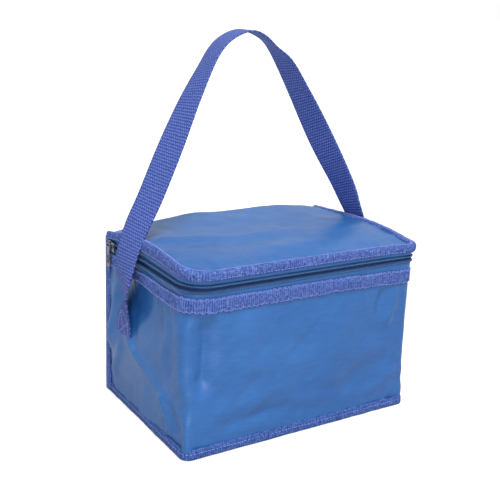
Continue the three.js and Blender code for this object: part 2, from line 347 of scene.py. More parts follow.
def ribbed_tape(name, rib, dark, light, blotchy):
    """Woven binding tape with uneven ribs across its length and bright flecks of thread."""
    n = Nodes(name, 0.75)
    u, v = n.uv()
    sway = n.math("MULTIPLY_ADD", n.noise(260, 3), 1.1 * MM, u)
    ribs = n.wave(sway, rib)
    cross = n.wave(n.math("MULTIPLY_ADD", n.noise(300, 2), 1.2 * MM, v), 1.5 * MM)
    threads = n.math("MULTIPLY", ribs, n.math("MULTIPLY_ADD", cross, 0.55, 0.45))
    fleck = n.math("POWER", n.noise(560, 2), 3.0)
    blotch = n.math("MULTIPLY_ADD", n.noise(300, 3), 2.2 * blotchy, 0.85 - 1.15 * blotchy)
    woven = n.math("ADD", n.math("MULTIPLY", threads, 0.6), n.math("MULTIPLY", fleck, 2.6))
    tone = n.math("MULTIPLY", woven, n.math("MAXIMUM", blotch, 0.45))
    n.colour(n.mix(n.math("MINIMUM", tone, 1.3), dark, light))
    n.relief(n.math("ADD", threads, n.math("MULTIPLY", fleck, 3.0)), 0.4 * MM, 1.0)
    n.shader.inputs["Specular IOR Level"].default_value = 0.25
    return n.material


def strap_webbing():
    """Polypropylene webbing: floats in staggered rows across the strap."""
    n = Nodes("strap_webbing", 0.6)
    u, v = n.uv()
    column_pitch = 2.3 * MM
    uneven = n.math("MULTIPLY_ADD", n.noise(420, 2), 1.6 * MM, u)
    rows = n.wave(uneven, WEBBING_ROW)
    shift = n.math("MULTIPLY", n.math("FLOOR", n.math("DIVIDE", uneven, WEBBING_ROW)), math.pi)
    turn = n.math("ADD", n.math("MULTIPLY", v, 2 * math.pi / column_pitch), shift)
    columns = n.math("MULTIPLY_ADD", n.math("SINE", turn), 0.5, 0.5)
    raised = n.math("MULTIPLY_ADD", rows, 0.85, 0.15)
    floats = n.math("MULTIPLY", raised, n.math("MULTIPLY_ADD", columns, 0.85, 0.15))
    fuzz = n.noise(650, 2)
    tone = n.math("MULTIPLY", floats, n.math("MULTIPLY_ADD", fuzz, 1.5, 0.55))
    n.colour(n.mix(tone, (0.012, 0.03, 0.165), (0.115, 0.18, 0.56)))
    n.relief(floats, 0.35 * MM, 1.0)
    n.shader.inputs["Specular IOR Level"].default_value = 0.3
    return n.material


def zip_fabric():
    """The zip's own tape: dark, tightly woven, dull."""
    n = Nodes("zip_fabric", 0.7)
    u, v = n.uv()
    twill = n.wave(n.math("ADD", u, v), 0.7 * MM)
    n.colour(n.mix(twill, (0.004, 0.024, 0.1), (0.01, 0.047, 0.18)))
    n.relief(twill, 0.1 * MM, 0.6)
    return n.material


def coil_plastic():
    """Nylon coil, slightly uneven in tone."""
    n = Nodes("coil_plastic", 0.38)
    fleck = n.noise(500, 2)
    n.colour(n.mix(fleck, (0.008, 0.04, 0.15), (0.025, 0.1, 0.3)))
    return n.material


def sewing_thread(name, dark, light):
    n = Nodes(name, 0.55)
    u, v = n.uv()
    twist = n.wave(n.math("ADD", u, v), 0.4 * MM)
    n.colour(n.mix(twist, dark, light))
    n.shader.inputs["Sheen Weight"].default_value = 0.3
    return n.material


def lining_film():
    """White wipe-clean film, softly creased, with painted shade in the hollows of the creases."""
    n = Nodes("lining_film", 0.3)
    crease = n.noise(60, 4)
    fine = n.noise(300, 2)
    # painted shade: the colour follows the crease height, darker in the hollows and lighter on the crests
    n.colour(n.mix(crease, (0.55, 0.57, 0.6), (0.68, 0.7, 0.72)))
    n.relief(n.math("MULTIPLY_ADD", fine, 0.3, crease), 0.7 * MM, 0.6)
    return n.material


def foam_cells():
    n = Nodes("foam_cells", 0.9)
    cells = n.add("ShaderNodeTexVoronoi", Scale=900.0)
    n.link(n.add("ShaderNodeTexCoord").outputs["Object"], cells.inputs["Vector"])
    # painted shade: the colour follows the cells' relief, darker in the hollow of each cell
    n.colour(n.mix(cells.outputs["Distance"], (0.8, 0.8, 0.76), (0.9, 0.9, 0.87)))
    n.relief(cells.outputs["Distance"], 0.2 * MM, 0.7)
    return n.material


def plated_metal():
    """Plated die casting, dulled by fine wear."""
    n = Nodes("plated_metal", 0.28, 1.0)
    wear = n.noise(700, 3)
    n.colour(n.mix(wear, (0.06, 0.07, 0.1), (0.4, 0.42, 0.48)))
    n.link(n.math("MULTIPLY_ADD", wear, 0.3, 0.15), n.shader.inputs["Roughness"])
    return n.material


def pale_floor():
    """A pale sweep that shows almost white but throws little light back up."""
    n = Nodes("pale_floor", 0.8)
    n.shader.inputs["Base Color"].default_value = (0.5, 0.5, 0.5, 1)
    n.shader.inputs["Emission Color"].default_value = (1, 1, 1, 1)
    seen = n.add("ShaderNodeLightPath").outputs["Is Camera Ray"]
    n.link(n.math("MULTIPLY", seen, 0.55), n.shader.inputs["Emission Strength"])
    return n.material


NYLON = coated_nylon()
TAPE = ribbed_tape("binding_tape", 1.9 * MM, (0.006, 0.022, 0.14), (0.125, 0.21, 0.58), 0.5)
FLAT_TAPE = ribbed_tape("flat_tape", 1.9 * MM, (0.004, 0.018, 0.11), (0.08, 0.165, 0.48), 0.4)
WEBBING = strap_webbing()
ZIP_TAPE = zip_fabric()
COIL = coil_plastic()
THREAD = sewing_thread("blue_thread", (0.12, 0.17, 0.55), (0.26, 0.33, 0.8))
ZIP_THREAD = sewing_thread("zip_thread", (0.04, 0.13, 0.28), (0.1, 0.24, 0.42))
LINING = lining_film()
FOAM = foam_cells()
METAL = plated_metal()


def dress(piece, material, body=None, slot=None, *nodes):
    piece.data.materials.clear()
    piece.data.materials.append(material)
    if body:
        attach(piece, body)
    if nodes:
        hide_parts(*nodes)
    return piece


# ------------------------------
# Cloth of the left end, front and right end


def crease(s, z, start, end, width, height):
    """A soft ridge along a line between two places on the wall, each a pair (s, z) in mm."""
    (s0, z0), (s1, z1) = np.array(start) * MM, np.array(end) * MM
    length = math.hypot(s1 - s0, z1 - z0)
    share = ((s - s0) * (s1 - s0) + (z - z0) * (z1 - z0)) / length**2
    away = ((s - s0) * (z1 - z0) - (z - z0) * (s1 - s0)) / length
    fade = smooth(share / 0.3 + 0.3) * smooth((1 - share) / 0.3 + 0.3)
    return height * MM * bump(away, 0, width * MM) * fade


def mm_from_corner(distance):
    """A place along the path, in mm, at a distance to the right of the front left corner."""
    return FRONT_LEFT / MM + distance


CREASES = [
    # start, end, width, height: ridges are positive and valleys negative, all in mm
    ((48, 66), (mm_from_corner(-26), 34), 5.0, 1.7),
    ((42, 60), (12, 18), 4.5, 2.4),
    ((26, 104), (13, 46), 7.0, 3.2),
    ((56, 96), (66, 62), 7.0, -1.4),
    ((mm_from_corner(-24), 106), (mm_from_corner(-34), 60), 7.0, 1.8),
    ((mm_from_corner(0), 6), (mm_from_corner(-1), 34), 3.0, 1.0),
    ((mm_from_corner(-20), 12), (mm_from_corner(-35), 42), 2.4, 1.9),
    ((mm_from_corner(-9), 14), (mm_from_corner(-24), 40), 4.0, -1.2),
    ((mm_from_corner(-5), 110), (mm_from_corner(-6), 44), 8.0, 3.0),
    ((mm_from_corner(12), 114), (mm_from_corner(10), 50), 8.0, -6.0),
    ((mm_from_corner(48), 110), (mm_from_corner(50), 58), 9.0, 2.0),
    ((mm_from_corner(14), 34), (mm_from_corner(104), 46), 8.0, 1.6),
    ((mm_from_corner(22), 20), (mm_from_corner(96), 28), 5.0, -1.3),
    ((mm_from_corner(60), 60), (mm_from_corner(150), 72), 14.0, 1.4),
    ((mm_from_corner(150), 96), (mm_from_corner(190), 60), 9.0, -1.6),
    ((mm_from_corner(196), 112), (mm_from_corner(188), 74), 5.0, 2.0),
    ((mm_from_corner(182), 112), (mm_from_corner(176), 84), 3.6, -1.8),
    ((mm_from_corner(140), 34), (mm_from_corner(196), 52), 9.0, -1.8),
    ((mm_from_corner(168), 20), (mm_from_corner(204), 34), 5.0, 1.5),
]


def end_bulge(t, z):
    """How far an end panel stands out. t is the distance from the rear seam, along the path."""
    length = smooth(t / (20 * MM)) * smooth((SIDE + 4 * MM - t) / (70 * MM))
    return 5.0 * MM * length * bump(z, 58 * MM, 48 * MM)


def wall_offset(s, z):
    """How far the wall cloth stands out of its flat outline."""
    s, z = np.broadcast_arrays(np.asarray(s, float), np.asarray(z, float))
    inside = smooth((z - 3 * MM) / (26 * MM)) * smooth((BAND_BOTTOM + 3 * MM - z) / (22 * MM))
    inside = inside * (1 - 0.75 * bump(s, FRONT_RIGHT, 22 * MM))
    out = end_bulge(s, z) + 0.55 * end_bulge(LENGTH - s, z)
    across = (s - LENGTH / 2) / (FRONT / 2)
    out = out + 2.6 * MM * smooth(1 - across**2) * bump(z, 48 * MM, 40 * MM)
    corners = bump(s, FRONT_LEFT, 5 * MM) + bump(s, FRONT_RIGHT, 5 * MM)
    out = out + 1.4 * MM * corners * bump(z, 8 * MM, 14 * MM)
    for start, end, width, height in CREASES:
        out = out + crease(s, z, start, end, width, height) * smooth((BAND_BOTTOM + 8 * MM - z) / (12 * MM))
    # large slack undulations, then slighter ones
    out = out + 2.2 * MM * inside * cloud(s, z * 1.3, 52 * MM, 3)
    out = out + 0.7 * MM * inside * cloud(s - 0.8 * z, z * 0.5, 15 * MM, 4)
    # slanting drag lines of the front, low down
    drag = np.sin((z + (s - SIDE) * 0.14 + 4 * MM * cloud(s, z, 60 * MM, 8)) / (3.1 * MM))
    out = out + 0.35 * MM * drag * bump(z, 26 * MM, 14 * MM) * smooth((s - SIDE - 20 * MM) / (30 * MM))
    # puckers that hang from the band and rise from the base binding
    top = smooth((z - (BAND_BOTTOM - 26 * MM)) / (24 * MM))
    foot = smooth((30 * MM - z) / (24 * MM))
    lean = 0.25 * (z - BAND_BOTTOM)
    pucker = cloud(s + lean, z * 0.12, 7.5 * MM, 5, 2)
    low_pucker = cloud(s - 0.35 * z, z * 0.12, 9 * MM, 6, 2)
    out = out + 1.1 * MM * top * pucker * smooth((BAND_BOTTOM + 6 * MM - z) / (6 * MM))
    return out + 0.8 * MM * foot * low_pucker


def wall_cloth():
    s = path_steps(1.5 * MM)
    above = np.linspace(BAND_BOTTOM - 1 * MM, ZIP_LINE - COIL_EDGE, 12)
    z = np.concatenate([np.linspace(1.5 * MM, BAND_BOTTOM - 2.5 * MM, 80), above])
    ss, zz = np.meshgrid(s, z, indexing="ij")
    offsets = wall_offset(ss, zz)
    # above the band the cloth runs in to the zip
    tuck = smooth((zz - BAND_TOP) / (3.5 * MM))
    offsets = offsets * (1 - tuck) + (0.3 * MM) * tuck
    piece = sheet("wall_cloth", wrapped(ss, offsets, zz), s, z, 0.7 * MM)
    dress(piece, NYLON, "body", "nylon", "wall_outer_panel", "zip_strip_lower")


wall_cloth()

# ------------------------------
# Lid and back: one strip of cloth that folds over the top rear edge


def lid_half_width(y, radius):
    """Half the lid's width at a depth, where its front corner has the given radius."""
    reach = np.clip((-CLOTH_Y + radius - y) / radius, 0, 1)
    return CLOTH_X - radius * (1 - np.sqrt(1 - reach**2))


def lid_span(columns, y, inset=0.0):
    """Places across the lid for shares from -1 to 1 of its half width, at a depth."""
    left, right = lid_half_width(y, ROUND_LEFT) - inset, lid_half_width(y, ROUND_RIGHT) - inset
    return columns * np.where(columns < 0, left, right)


FOLD_RISE = 4.5 * MM


def lid_height(x, y):
    """Height of the lid's cloth: domed, highest at the middle of the rear fold."""
    across = np.clip(np.abs(x) / CLOTH_X, 0, 1)
    depth = np.clip((y + CLOTH_Y) / (2 * CLOTH_Y), 0, 1)
    arch = (1 - across**2.6) * (0.25 + 0.75 * depth**1.5)
    rise = FOLD_RISE * arch * smooth(depth / 0.16)
    rise = rise + 3.6 * MM * (1 - across**4) * smooth(depth / 0.25) * (1 - 0.7 * depth)
    edge = np.minimum(np.minimum(CLOTH_X - np.abs(x), y + CLOTH_Y), 60 * MM)
    near = smooth(1 - edge / (20 * MM)) * smooth(edge / (1.5 * MM))
    run = np.where(CLOTH_X - np.abs(x) < y + CLOTH_Y, y, x)
    pucker = cloud(run, edge * 0.2, 7 * MM, 11, 2) * 1.0 * MM * near
    slack = 1.5 * MM * cloud(x, y * 1.6, 48 * MM, 12) * smooth(edge / (20 * MM))
    crest = -6 * MM - 0.10 * x + 5 * MM * np.sin(x / (34 * MM))
    ridge = 1.8 * MM * bump(y, crest, 7 * MM) - 1.3 * MM * bump(y, crest - 17 * MM, 8 * MM)
    ridge = ridge * smooth((50 * MM - x) / (70 * MM)) * smooth(edge / (16 * MM))
    base = RIM_TOP - 2.3 * MM + 1.8 * MM * smooth((depth - 0.6) / 0.4)
    return base + rim_rise(x, y) + rise + pucker + slack + ridge


def back_offset(x, z):
    """How far the back cloth stands out behind its flat plane."""
    across = np.clip(1 - (np.abs(x) / CLOTH_X) ** 2.2, 0, 1)
    out = 2.4 * MM * across * bump(z, 65 * MM, 50 * MM)
    out = out + 1.2 * MM * across * cloud(x, z, 50 * MM, 21)
    foot = smooth((30 * MM - z) / (26 * MM))
    side = smooth(1 - (CLOTH_X - np.abs(x)) / (22 * MM))
    out = out + 0.8 * MM * foot * cloud(x, z * 0.1, 8 * MM, 22)
    out = out + 0.8 * MM * side * cloud(z, x * 0.1, 8 * MM, 23)
    return out


def lid_and_back_cloth():
    """Rows run from the lid's front edge over the rear fold and down the back to the base."""
    radius = 3.0 * MM
    turn = np.linspace(0, math.pi / 2, 9)[1:]
    corner = -CLOTH_Y + ROUND_LEFT * (1 - np.sin(np.linspace(math.pi / 2, 0, 20)))
    top = np.concatenate([corner, np.linspace(corner[-1], CLOTH_Y - radius, 64)[1:]])
    columns = np.linspace(1, -1, 121)
    rows = []
    for y in top:
        x = lid_span(columns, y)
        rows.append(np.stack([x, np.full_like(x, y), lid_height(x, np.full_like(x, y))], -1))
    last = rows[-1]
    crest = last[:, 2] - radius
    for angle in turn:
        y = CLOTH_Y - radius + radius * math.sin(angle)
        rows.append(np.stack([last[:, 0], np.full(len(columns), y), crest + radius * math.cos(angle)], -1))
    start = rows[-1][:, 2]
    for share in np.linspace(0, 1, 74)[1:]:
        z = start + (2 * MM - start) * share
        x = columns * CLOTH_X
        blend = smooth(share / 0.15)
        y = CLOTH_Y + back_offset(x, z) * blend
        rows.append(np.stack([x, y, z], -1))
    points = np.stack(rows)
    middle = points[:, len(columns) // 2]
    run = distances(middle)
    piece = sheet("lid_and_back_cloth", points, run, columns * CLOTH_X, 0.7 * MM, outside=1.0)
    piece.data.materials.append(NYLON)
    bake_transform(piece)
    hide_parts("lid_outer_panel", "back_outer_panel")


lid_and_back_cloth()

# ------------------------------
# Bound seams and the trim band


def swept_tape(name, s, section, wobble, seed, flare=0.0):
    """A folded tape round the path. section is a list of (offset, height) round its whole outline."""
    section = np.array(section, float)
    ss = np.repeat(s[:, None], len(section), 1)
    corner = bump(s, FRONT_LEFT, 9 * MM) + bump(s, FRONT_RIGHT, 9 * MM)
    sway = (wobble * cloud(s, 0 * s, 11 * MM, seed, 2) + flare * corner)[:, None]
    rise = wobble * cloud(s, 0 * s + 1, 8 * MM, seed + 1, 2)[:, None]
    outward = section[None, :, 0] / max(section[:, 0].max(), 1e-6)
    offsets = section[None, :, 0] + sway * outward
    share = (section[:, 1] - section[:, 1].min()) / np.ptp(section[:, 1])
    heights = section[None, :, 1] + rise * share[None, :]
    points = wrapped(ss, offsets, heights)
    rows, columns, _ = points.shape
    u, v = np.meshgrid(s, distances(section), indexing="ij")
    faces = grid_faces(rows, columns, close_columns=True) + caps(rows, columns)
    return mesh_object(name, points.reshape(-1, 3), faces, np.stack([u, v], -1).reshape(-1, 2))


# share of a stitch's length, share of its width, and rise in widths
STITCH_SHAPE = [
    (0.0, 0.35, -0.5), (0.25, 0.85, 0.15), (0.5, 1.0, 0.35), (0.75, 0.85, 0.15), (1.0, 0.35, -0.5),
]
STITCH_SIDES = 6


def stitches(name, starts, ends, normals, width, material, body, slot):
    """Short raised stitches, each a slim lozenge between two points with its ends sunk."""
    ring = [(math.cos(a), math.sin(a)) for a in np.linspace(0, 2 * math.pi, STITCH_SIDES + 1)[:-1]]
    verts, faces, uvs = [], [], []
    for start, end, n in zip(starts, ends, normals):
        base = len(verts)
        n = n / np.linalg.norm(n)
        length = np.linalg.norm(end - start)
        aside = np.cross(n, (end - start) / length)
        for share, size, rise in STITCH_SHAPE:
            p = start + (end - start) * share
            for c, k in ring:
                verts.append(p + n * width * (rise + 0.5 * size * k) + aside * width * 0.5 * size * c)
                uvs.append((share * length, c * width))
        tube = grid_faces(len(STITCH_SHAPE), STITCH_SIDES, close_columns=True, start=base)
        faces += [f[::-1] for f in tube] + caps(len(STITCH_SHAPE), STITCH_SIDES, base)
    piece = mesh_object(name, verts, faces, uvs)
    return dress(piece, material, body, slot)


def stitch_row(name, points, normals, length, gap, width, material, body, slot):
    """A row of stitches one behind the other along a line of points."""
    points, normals = np.asarray(points), np.asarray(normals)
    run = distances(points)

    def at(places, values):
        return np.stack([np.interp(places, run, values[:, k]) for k in range(3)], -1)

    places = np.arange(gap, run[-1] - length, length + gap)
    ends = at(places + length, points)
    return stitches(name, at(places, points), ends, at(places, normals), width, material, body, slot)


def zigzag(name, points, normals, aside, width, material, body, slot):
    """A zigzag seam: the points step along the seam and alternate to either side of it."""
    sides = np.where(np.arange(len(points)) % 2, 1, -1)[:, None]
    spots = points + aside * sides
    middle = (normals[1:] + normals[:-1]) / 2
    return stitches(name, spots[:-1], spots[1:], middle, width, material, body, slot)


def path_line(s, offset, z):
    """A line round the path with its outward normals."""
    s = np.asarray(s, float)
    z = np.broadcast_to(z, s.shape)
    _, _, nx, ny = along(s, z)
    points = wrapped(s, np.broadcast_to(offset, s.shape), z)
    return points, np.stack([nx, ny, 0 * nx], -1)


REAR = 2 * MM  # where the tapes stop short of the rear corners


def lid_binding():
    s = path_steps(1.5 * MM, 0.5 * MM, LENGTH - 0.5 * MM)
    f = FLANGE
    section = [
        (-3.2 * MM, RIM_TOP - 2.0 * MM),
        (-2.4 * MM, RIM_TOP - 0.6 * MM),
        (0.0, RIM_TOP + 0.2 * MM),
        (0.5 * f, RIM_TOP + 0.2 * MM),
        (0.82 * f, RIM_TOP - 0.5 * MM),
        (1.0 * f, RIM_TOP - 2.0 * MM),
        (0.98 * f, RIM_TOP - 4.6 * MM),
        (0.86 * f, RIM_BOTTOM + 0.8 * MM),
        (0.66 * f, RIM_BOTTOM),
        (0.4 * f, RIM_BOTTOM + 0.3 * MM),
        (0.2 * f, RIM_BOTTOM + 2.2 * MM),
        (0.0, RIM_BOTTOM + 4.2 * MM),
        (-2.6 * MM, RIM_BOTTOM + 4.8 * MM),
    ]
    piece = swept_tape("lid_binding", s, section[::-1], 0.55 * MM, 31, flare=1.6 * MM)
    dress(piece, TAPE, "lid", "binding", "binding_lid")
    steps = np.arange(3 * MM, LENGTH - 3 * MM, 1.4 * MM)
    line, outward = path_line(steps, -0.4 * MM, RIM_TOP + 0.05 * MM)
    normals = outward * 0.1 + np.array([0, 0, 1.0])
    zigzag("lid_binding_top_seam", line, normals, outward * 1.2 * MM, 0.5 * MM, THREAD, "lid", "thread")
    line, normals = path_line(s, 0.93 * f, RIM_BOTTOM + 1.6 * MM)
    stitch_row("lid_binding_stitches", line, normals, 2.2 * MM, 0.9 * MM, 0.5 * MM, THREAD, "lid", "thread")


def base_binding():
    s = path_steps(1.5 * MM, REAR, LENGTH - REAR)
    f = FLANGE
    top = BASE_TOP
    section = [
        (-0.6 * MM, top - 1.5 * MM),
        (0.35 * f, top + 0.2 * MM),
        (0.62 * f, top - 0.4 * MM),
        (0.8 * f, top - 2.2 * MM),
        (0.97 * f, 3.6 * MM),
        (1.0 * f, 1.8 * MM),
        (0.85 * f, 0.5 * MM),
        (0.5 * f, 0.15 * MM),
        (-0.5 * MM, 0.15 * MM),
    ]
    piece = swept_tape("base_binding", s, section[::-1], 0.5 * MM, 41)
    dress(piece, FLAT_TAPE, "body", "binding", "binding_base")
    line, normals = path_line(s, 0.86 * f, 5.2 * MM)
    stitch_row("base_binding_stitches", line, normals, 2.4 * MM, 0.8 * MM, 0.5 * MM, THREAD, "body", "thread")


def rear_binding(side):
    """The bound seam up a rear corner, folded round it."""
    z = np.linspace(0.4 * MM, RIM_BOTTOM - 0.3 * MM, 90)
    f = FLANGE
    plan = [
        (0.3 * MM, -5.2 * MM),
        (0.55 * f, -5.6 * MM),
        (0.9 * f, -4.6 * MM),
        (1.0 * f, -1.0 * MM),
        (1.0 * f, 0.62 * f),
        (0.86 * f, 0.9 * f),
        (0.6 * f, 1.0 * f),
        (-2.0 * MM, 0.98 * f),
        (-4.6 * MM, 0.8 * f),
        (-5.2 * MM, 0.3 * f),
        (-4.0 * MM, 0.1 * MM),
        (0.0, 0.0),
    ]
    verts, uvs = [], []
    name = "left" if side < 0 else "right"
    sway = 0.5 * MM * cloud(z, 0 * z + side, 10 * MM, 51)
    steps = distances(np.array(plan))
    for height, d in zip(z, sway):
        for (x, y), v in zip(plan, steps):
            if y < 0:
                wide = CLOTH_X + x + d * (1 if x > 0 else 0.5)
            else:
                wide = CLOTH_X + x
            verts.append((side * wide, CLOTH_Y + y + (d if x < 0 else 0), height))
            uvs.append((height, v))
    count = len(plan)
    faces = grid_faces(len(z), count, close_columns=True)
    faces += [f[::-1] for f in caps(len(z), count)]
    if side > 0:
        faces = [f[::-1] for f in faces]
    piece = mesh_object(f"rear_binding_{name}", verts, faces, uvs)
    dress(piece, TAPE, "body", "binding", f"binding_back_{name}")
    face = np.full_like(z, side * (CLOTH_X + 1.02 * f))
    line = np.stack([face, np.full_like(z, CLOTH_Y - 1.6 * MM), z], -1)
    normals = np.tile([side, 0.0, 0.0], (len(z), 1))
    stitch_row(f"rear_stitches_{name}", line, normals, 2.4 * MM, 0.8 * MM, 0.5 * MM, THREAD, "body", "thread")


def band_out(s, share):
    """How far the trim band stands out at a share of its height: its edges are sewn down."""
    soft = cloud(s, share * 3 * MM, 5 * MM, 61)
    return 0.9 * MM + 0.9 * MM * np.sin(math.pi * np.clip(share, 0, 1)) ** 0.8 * (0.9 + 0.6 * soft)


def trim_band():
    s = path_steps(1.2 * MM, REAR, LENGTH - REAR)
    shares = np.linspace(0, 1, 13)
    ss, hh = np.meshgrid(s, shares, indexing="ij")
    droop = 2.4 * MM * bump(s, FRONT_RIGHT, 50 * MM)
    gather = 2.6 * MM * bump(s, 64 * MM, 34 * MM) - droop
    lower = (BAND_BOTTOM + gather + 1.1 * MM * cloud(s, 0 * s, 7 * MM, 62))[:, None]
    upper = (BAND_TOP - droop + 0.5 * MM * cloud(s, 0 * s, 10 * MM, 63))[:, None]
    heights = lower + (upper - lower) * hh
    under = np.maximum(wall_offset(ss, heights), 0)
    offsets = under + band_out(ss, hh) * (1 - 0.45 * bump(ss, FRONT_RIGHT, 12 * MM))
    points = wrapped(ss, offsets, heights)
    piece = sheet("trim_band_tape", points, s, shares * (BAND_TOP - BAND_BOTTOM), 0.7 * MM)
    dress(piece, TAPE, "body", "binding", "trim_band")
    steps = np.arange(3 * MM, LENGTH - 3 * MM, 2.3 * MM)
    for name, share in (("low", 0.1), ("high", 0.9)):
        edge = np.interp(steps, s, lower[:, 0] + (upper - lower)[:, 0] * share)
        out = np.maximum(wall_offset(steps, edge), 0) + band_out(steps, share) + 0.05 * MM
        line, normals = path_line(steps, out, edge)
        aside = np.array([0, 0, 1.0 * MM])
        zigzag(f"band_seam_{name}", line, normals, aside, 0.42 * MM, THREAD, "body", "thread")


lid_binding()
base_binding()
rear_binding(-1)
rear_binding(1)
trim_band()

# ------------------------------
# Zip


def zip_tape(name, bottom, top, body, node):
    s = path_steps(2.5 * MM, REAR, LENGTH - REAR)
    z = np.linspace(bottom, top, 8)
    ss, zz = np.meshgrid(s, z, indexing="ij")
    offsets = -0.9 * MM + 0.15 * MM * cloud(ss, zz, 14 * MM, 71)
    piece = sheet(name, wrapped(ss, offsets, zz), s, z, 0.5 * MM)
    return dress(piece, ZIP_TAPE, body, "zip", node)


def upper_strip():
    """Strip of cloth between the lid's binding and the upper row of coil."""
    s = path_steps(2.0 * MM, REAR, LENGTH - REAR)
    z = np.linspace(ZIP_LINE + COIL_EDGE, RIM_BOTTOM + 3.5 * MM, 8)
    ss, zz = np.meshgrid(s, z, indexing="ij")
    share = (zz - z[0]) / (z[-1] - z[0])
    offsets = 0.2 * MM + 0.3 * MM * np.sin(math.pi * share) + 0.25 * MM * cloud(ss, zz, 12 * MM, 72)
    piece = sheet("zip_strip_cloth", wrapped(ss, offsets, zz), s, z, 0.6 * MM)
    dress(piece, NYLON, "lid", "nylon", "zip_strip_upper")


def coil_row(name, side, body, node):
    """A wound coil: one turn every pitch, flattened against the tape. side is 1 above the zip line."""
    pitch, steps, sides = 1.3 * MM, 10, 5
    centre = ZIP_LINE + side * COIL_MIDDLE
    turns = int((LENGTH - 2 * REAR - 4 * MM) / pitch)
    angle = np.arange(turns * steps + 1) * 2 * math.pi / steps
    s = REAR + 2 * MM + pitch * angle / (2 * math.pi)
    offsets = (COIL_OUT - 1.25 * MM) + 0.95 * MM * np.cos(angle)
    heights = centre + 1.08 * MM * np.sin(angle) * side
    line = wrapped(s, offsets, heights)
    ahead = unit(np.gradient(line, axis=0))
    _, _, nx, ny = along(s, heights)
    out = np.stack([nx, ny, 0 * nx], -1) * np.cos(angle)[:, None]
    out += np.array([0, 0, side]) * np.sin(angle)[:, None]
    out = unit(out - (out * ahead).sum(1)[:, None] * ahead)
    aside = np.cross(ahead, out)
    ring = np.linspace(0, 2 * math.pi, sides + 1)[:-1]
    radius = 0.27 * MM
    rings = [line + radius * (math.cos(a) * out + 1.35 * math.sin(a) * aside) for a in ring]
    points = np.stack(rings, 1)
    u, v = np.meshgrid(s, ring, indexing="ij")
    faces = grid_faces(len(s), sides, close_columns=True) + caps(len(s), sides)
    piece = mesh_object(name, points.reshape(-1, 3), faces, np.stack([u, v * MM], -1).reshape(-1, 2))
    dress(piece, COIL, body, "zip", node)
    # the thread that sews the coil down lies along its outer face
    seam = path_steps(2 * MM, REAR + 2 * MM, LENGTH - REAR - 2 * MM)
    line, normals = path_line(seam, COIL_OUT - 0.1 * MM, centre + side * 0.25 * MM)
    stitch_row(f"{name}_thread", line, normals, 1.0 * MM, 0.7 * MM, 0.6 * MM, ZIP_THREAD, body, "zip")


zip_tape("zip_tape_low", BAND_TOP - 5 * MM, ZIP_LINE - TAPES_APART, "body", "zip_tape_lower")
zip_tape("zip_tape_high", ZIP_LINE + TAPES_APART, RIM_BOTTOM + 0.5 * MM, "lid", "zip_tape_upper")
upper_strip()
coil_row("coil_low", -1, "body", "zip_coil_lower")
coil_row("coil_high", 1, "lid", "zip_coil_upper")

# ------------------------------
# Handle

# Points on the strap's middle line, in mm, and how far it is turned about the upright there, in degrees
LOOP = [
    (-110.8, 31, 60, 0), (-112.4, 28, 70, 0), (-113.2, 25, 80, -3), (-113.4, 22.5, 88, -11),
    (-114.2, 20, 95, -18), (-116.0, 17.5, 101.5, -22), (-118.2, 16, 108, -18), (-118.8, 15, 118, -4),
    (-117.6, 15, 130, 9), (-114.4, 15, 144, 16), (-106.6, 14.5, 164, 22), (-96.9, 14, 184, 24),
    (-79.6, 15, 222, 23), (-61.6, 19, 257, 10), (-42.6, 27, 284, -4), (-28.4, 33, 299, -5),
    (-14, 37, 307.4, -4), (-0.5, 39, 310.8, -4), (12, 41, 308.6, -8), (27, 43, 300.5, -14),
    (42.4, 44, 286.5, 8), (60.2, 42, 259, 19), (81, 33, 218, 32), (99.2, 23, 181, 21),
    (107.2, 17.5, 160, 9), (113.6, 15, 144, 2), (117.2, 15, 130, 0), (118.4, 15.5, 118, 0),
    (117.0, 17, 108, 0), (113.2, 19, 102.5, 0), (111, 20.5, 97, 0), (111.8, 22.5, 90, 0),
    (112.4, 25, 80, 0), (111.4, 28, 70, 0), (110, 31, 60, 0),
]


def spline(points, steps):
    """A smooth curve through points, sampled at even distances, with its tangents."""
    p = np.vstack([2 * points[0] - points[1], points, 2 * points[-1] - points[-2]])
    out = []
    for i in range(1, len(p) - 2):
        for t in np.linspace(0, 1, 24, endpoint=False):
            a, b, c, d = p[i - 1 : i + 3]
            square, cube = 2 * a - 5 * b + 4 * c - d, 3 * b - a - 3 * c + d
            out.append(0.5 * (2 * b + (c - a) * t + square * t**2 + cube * t**3))
    out.append(p[-2])
    out = np.array(out)
    run = distances(out[:, :3])
    even = np.linspace(0, run[-1], steps)
    line = np.stack([np.interp(even, run, out[:, k]) for k in range(out.shape[1])], -1)
    tangent = np.gradient(line[:, :3], axis=0)
    return line, unit(tangent), even


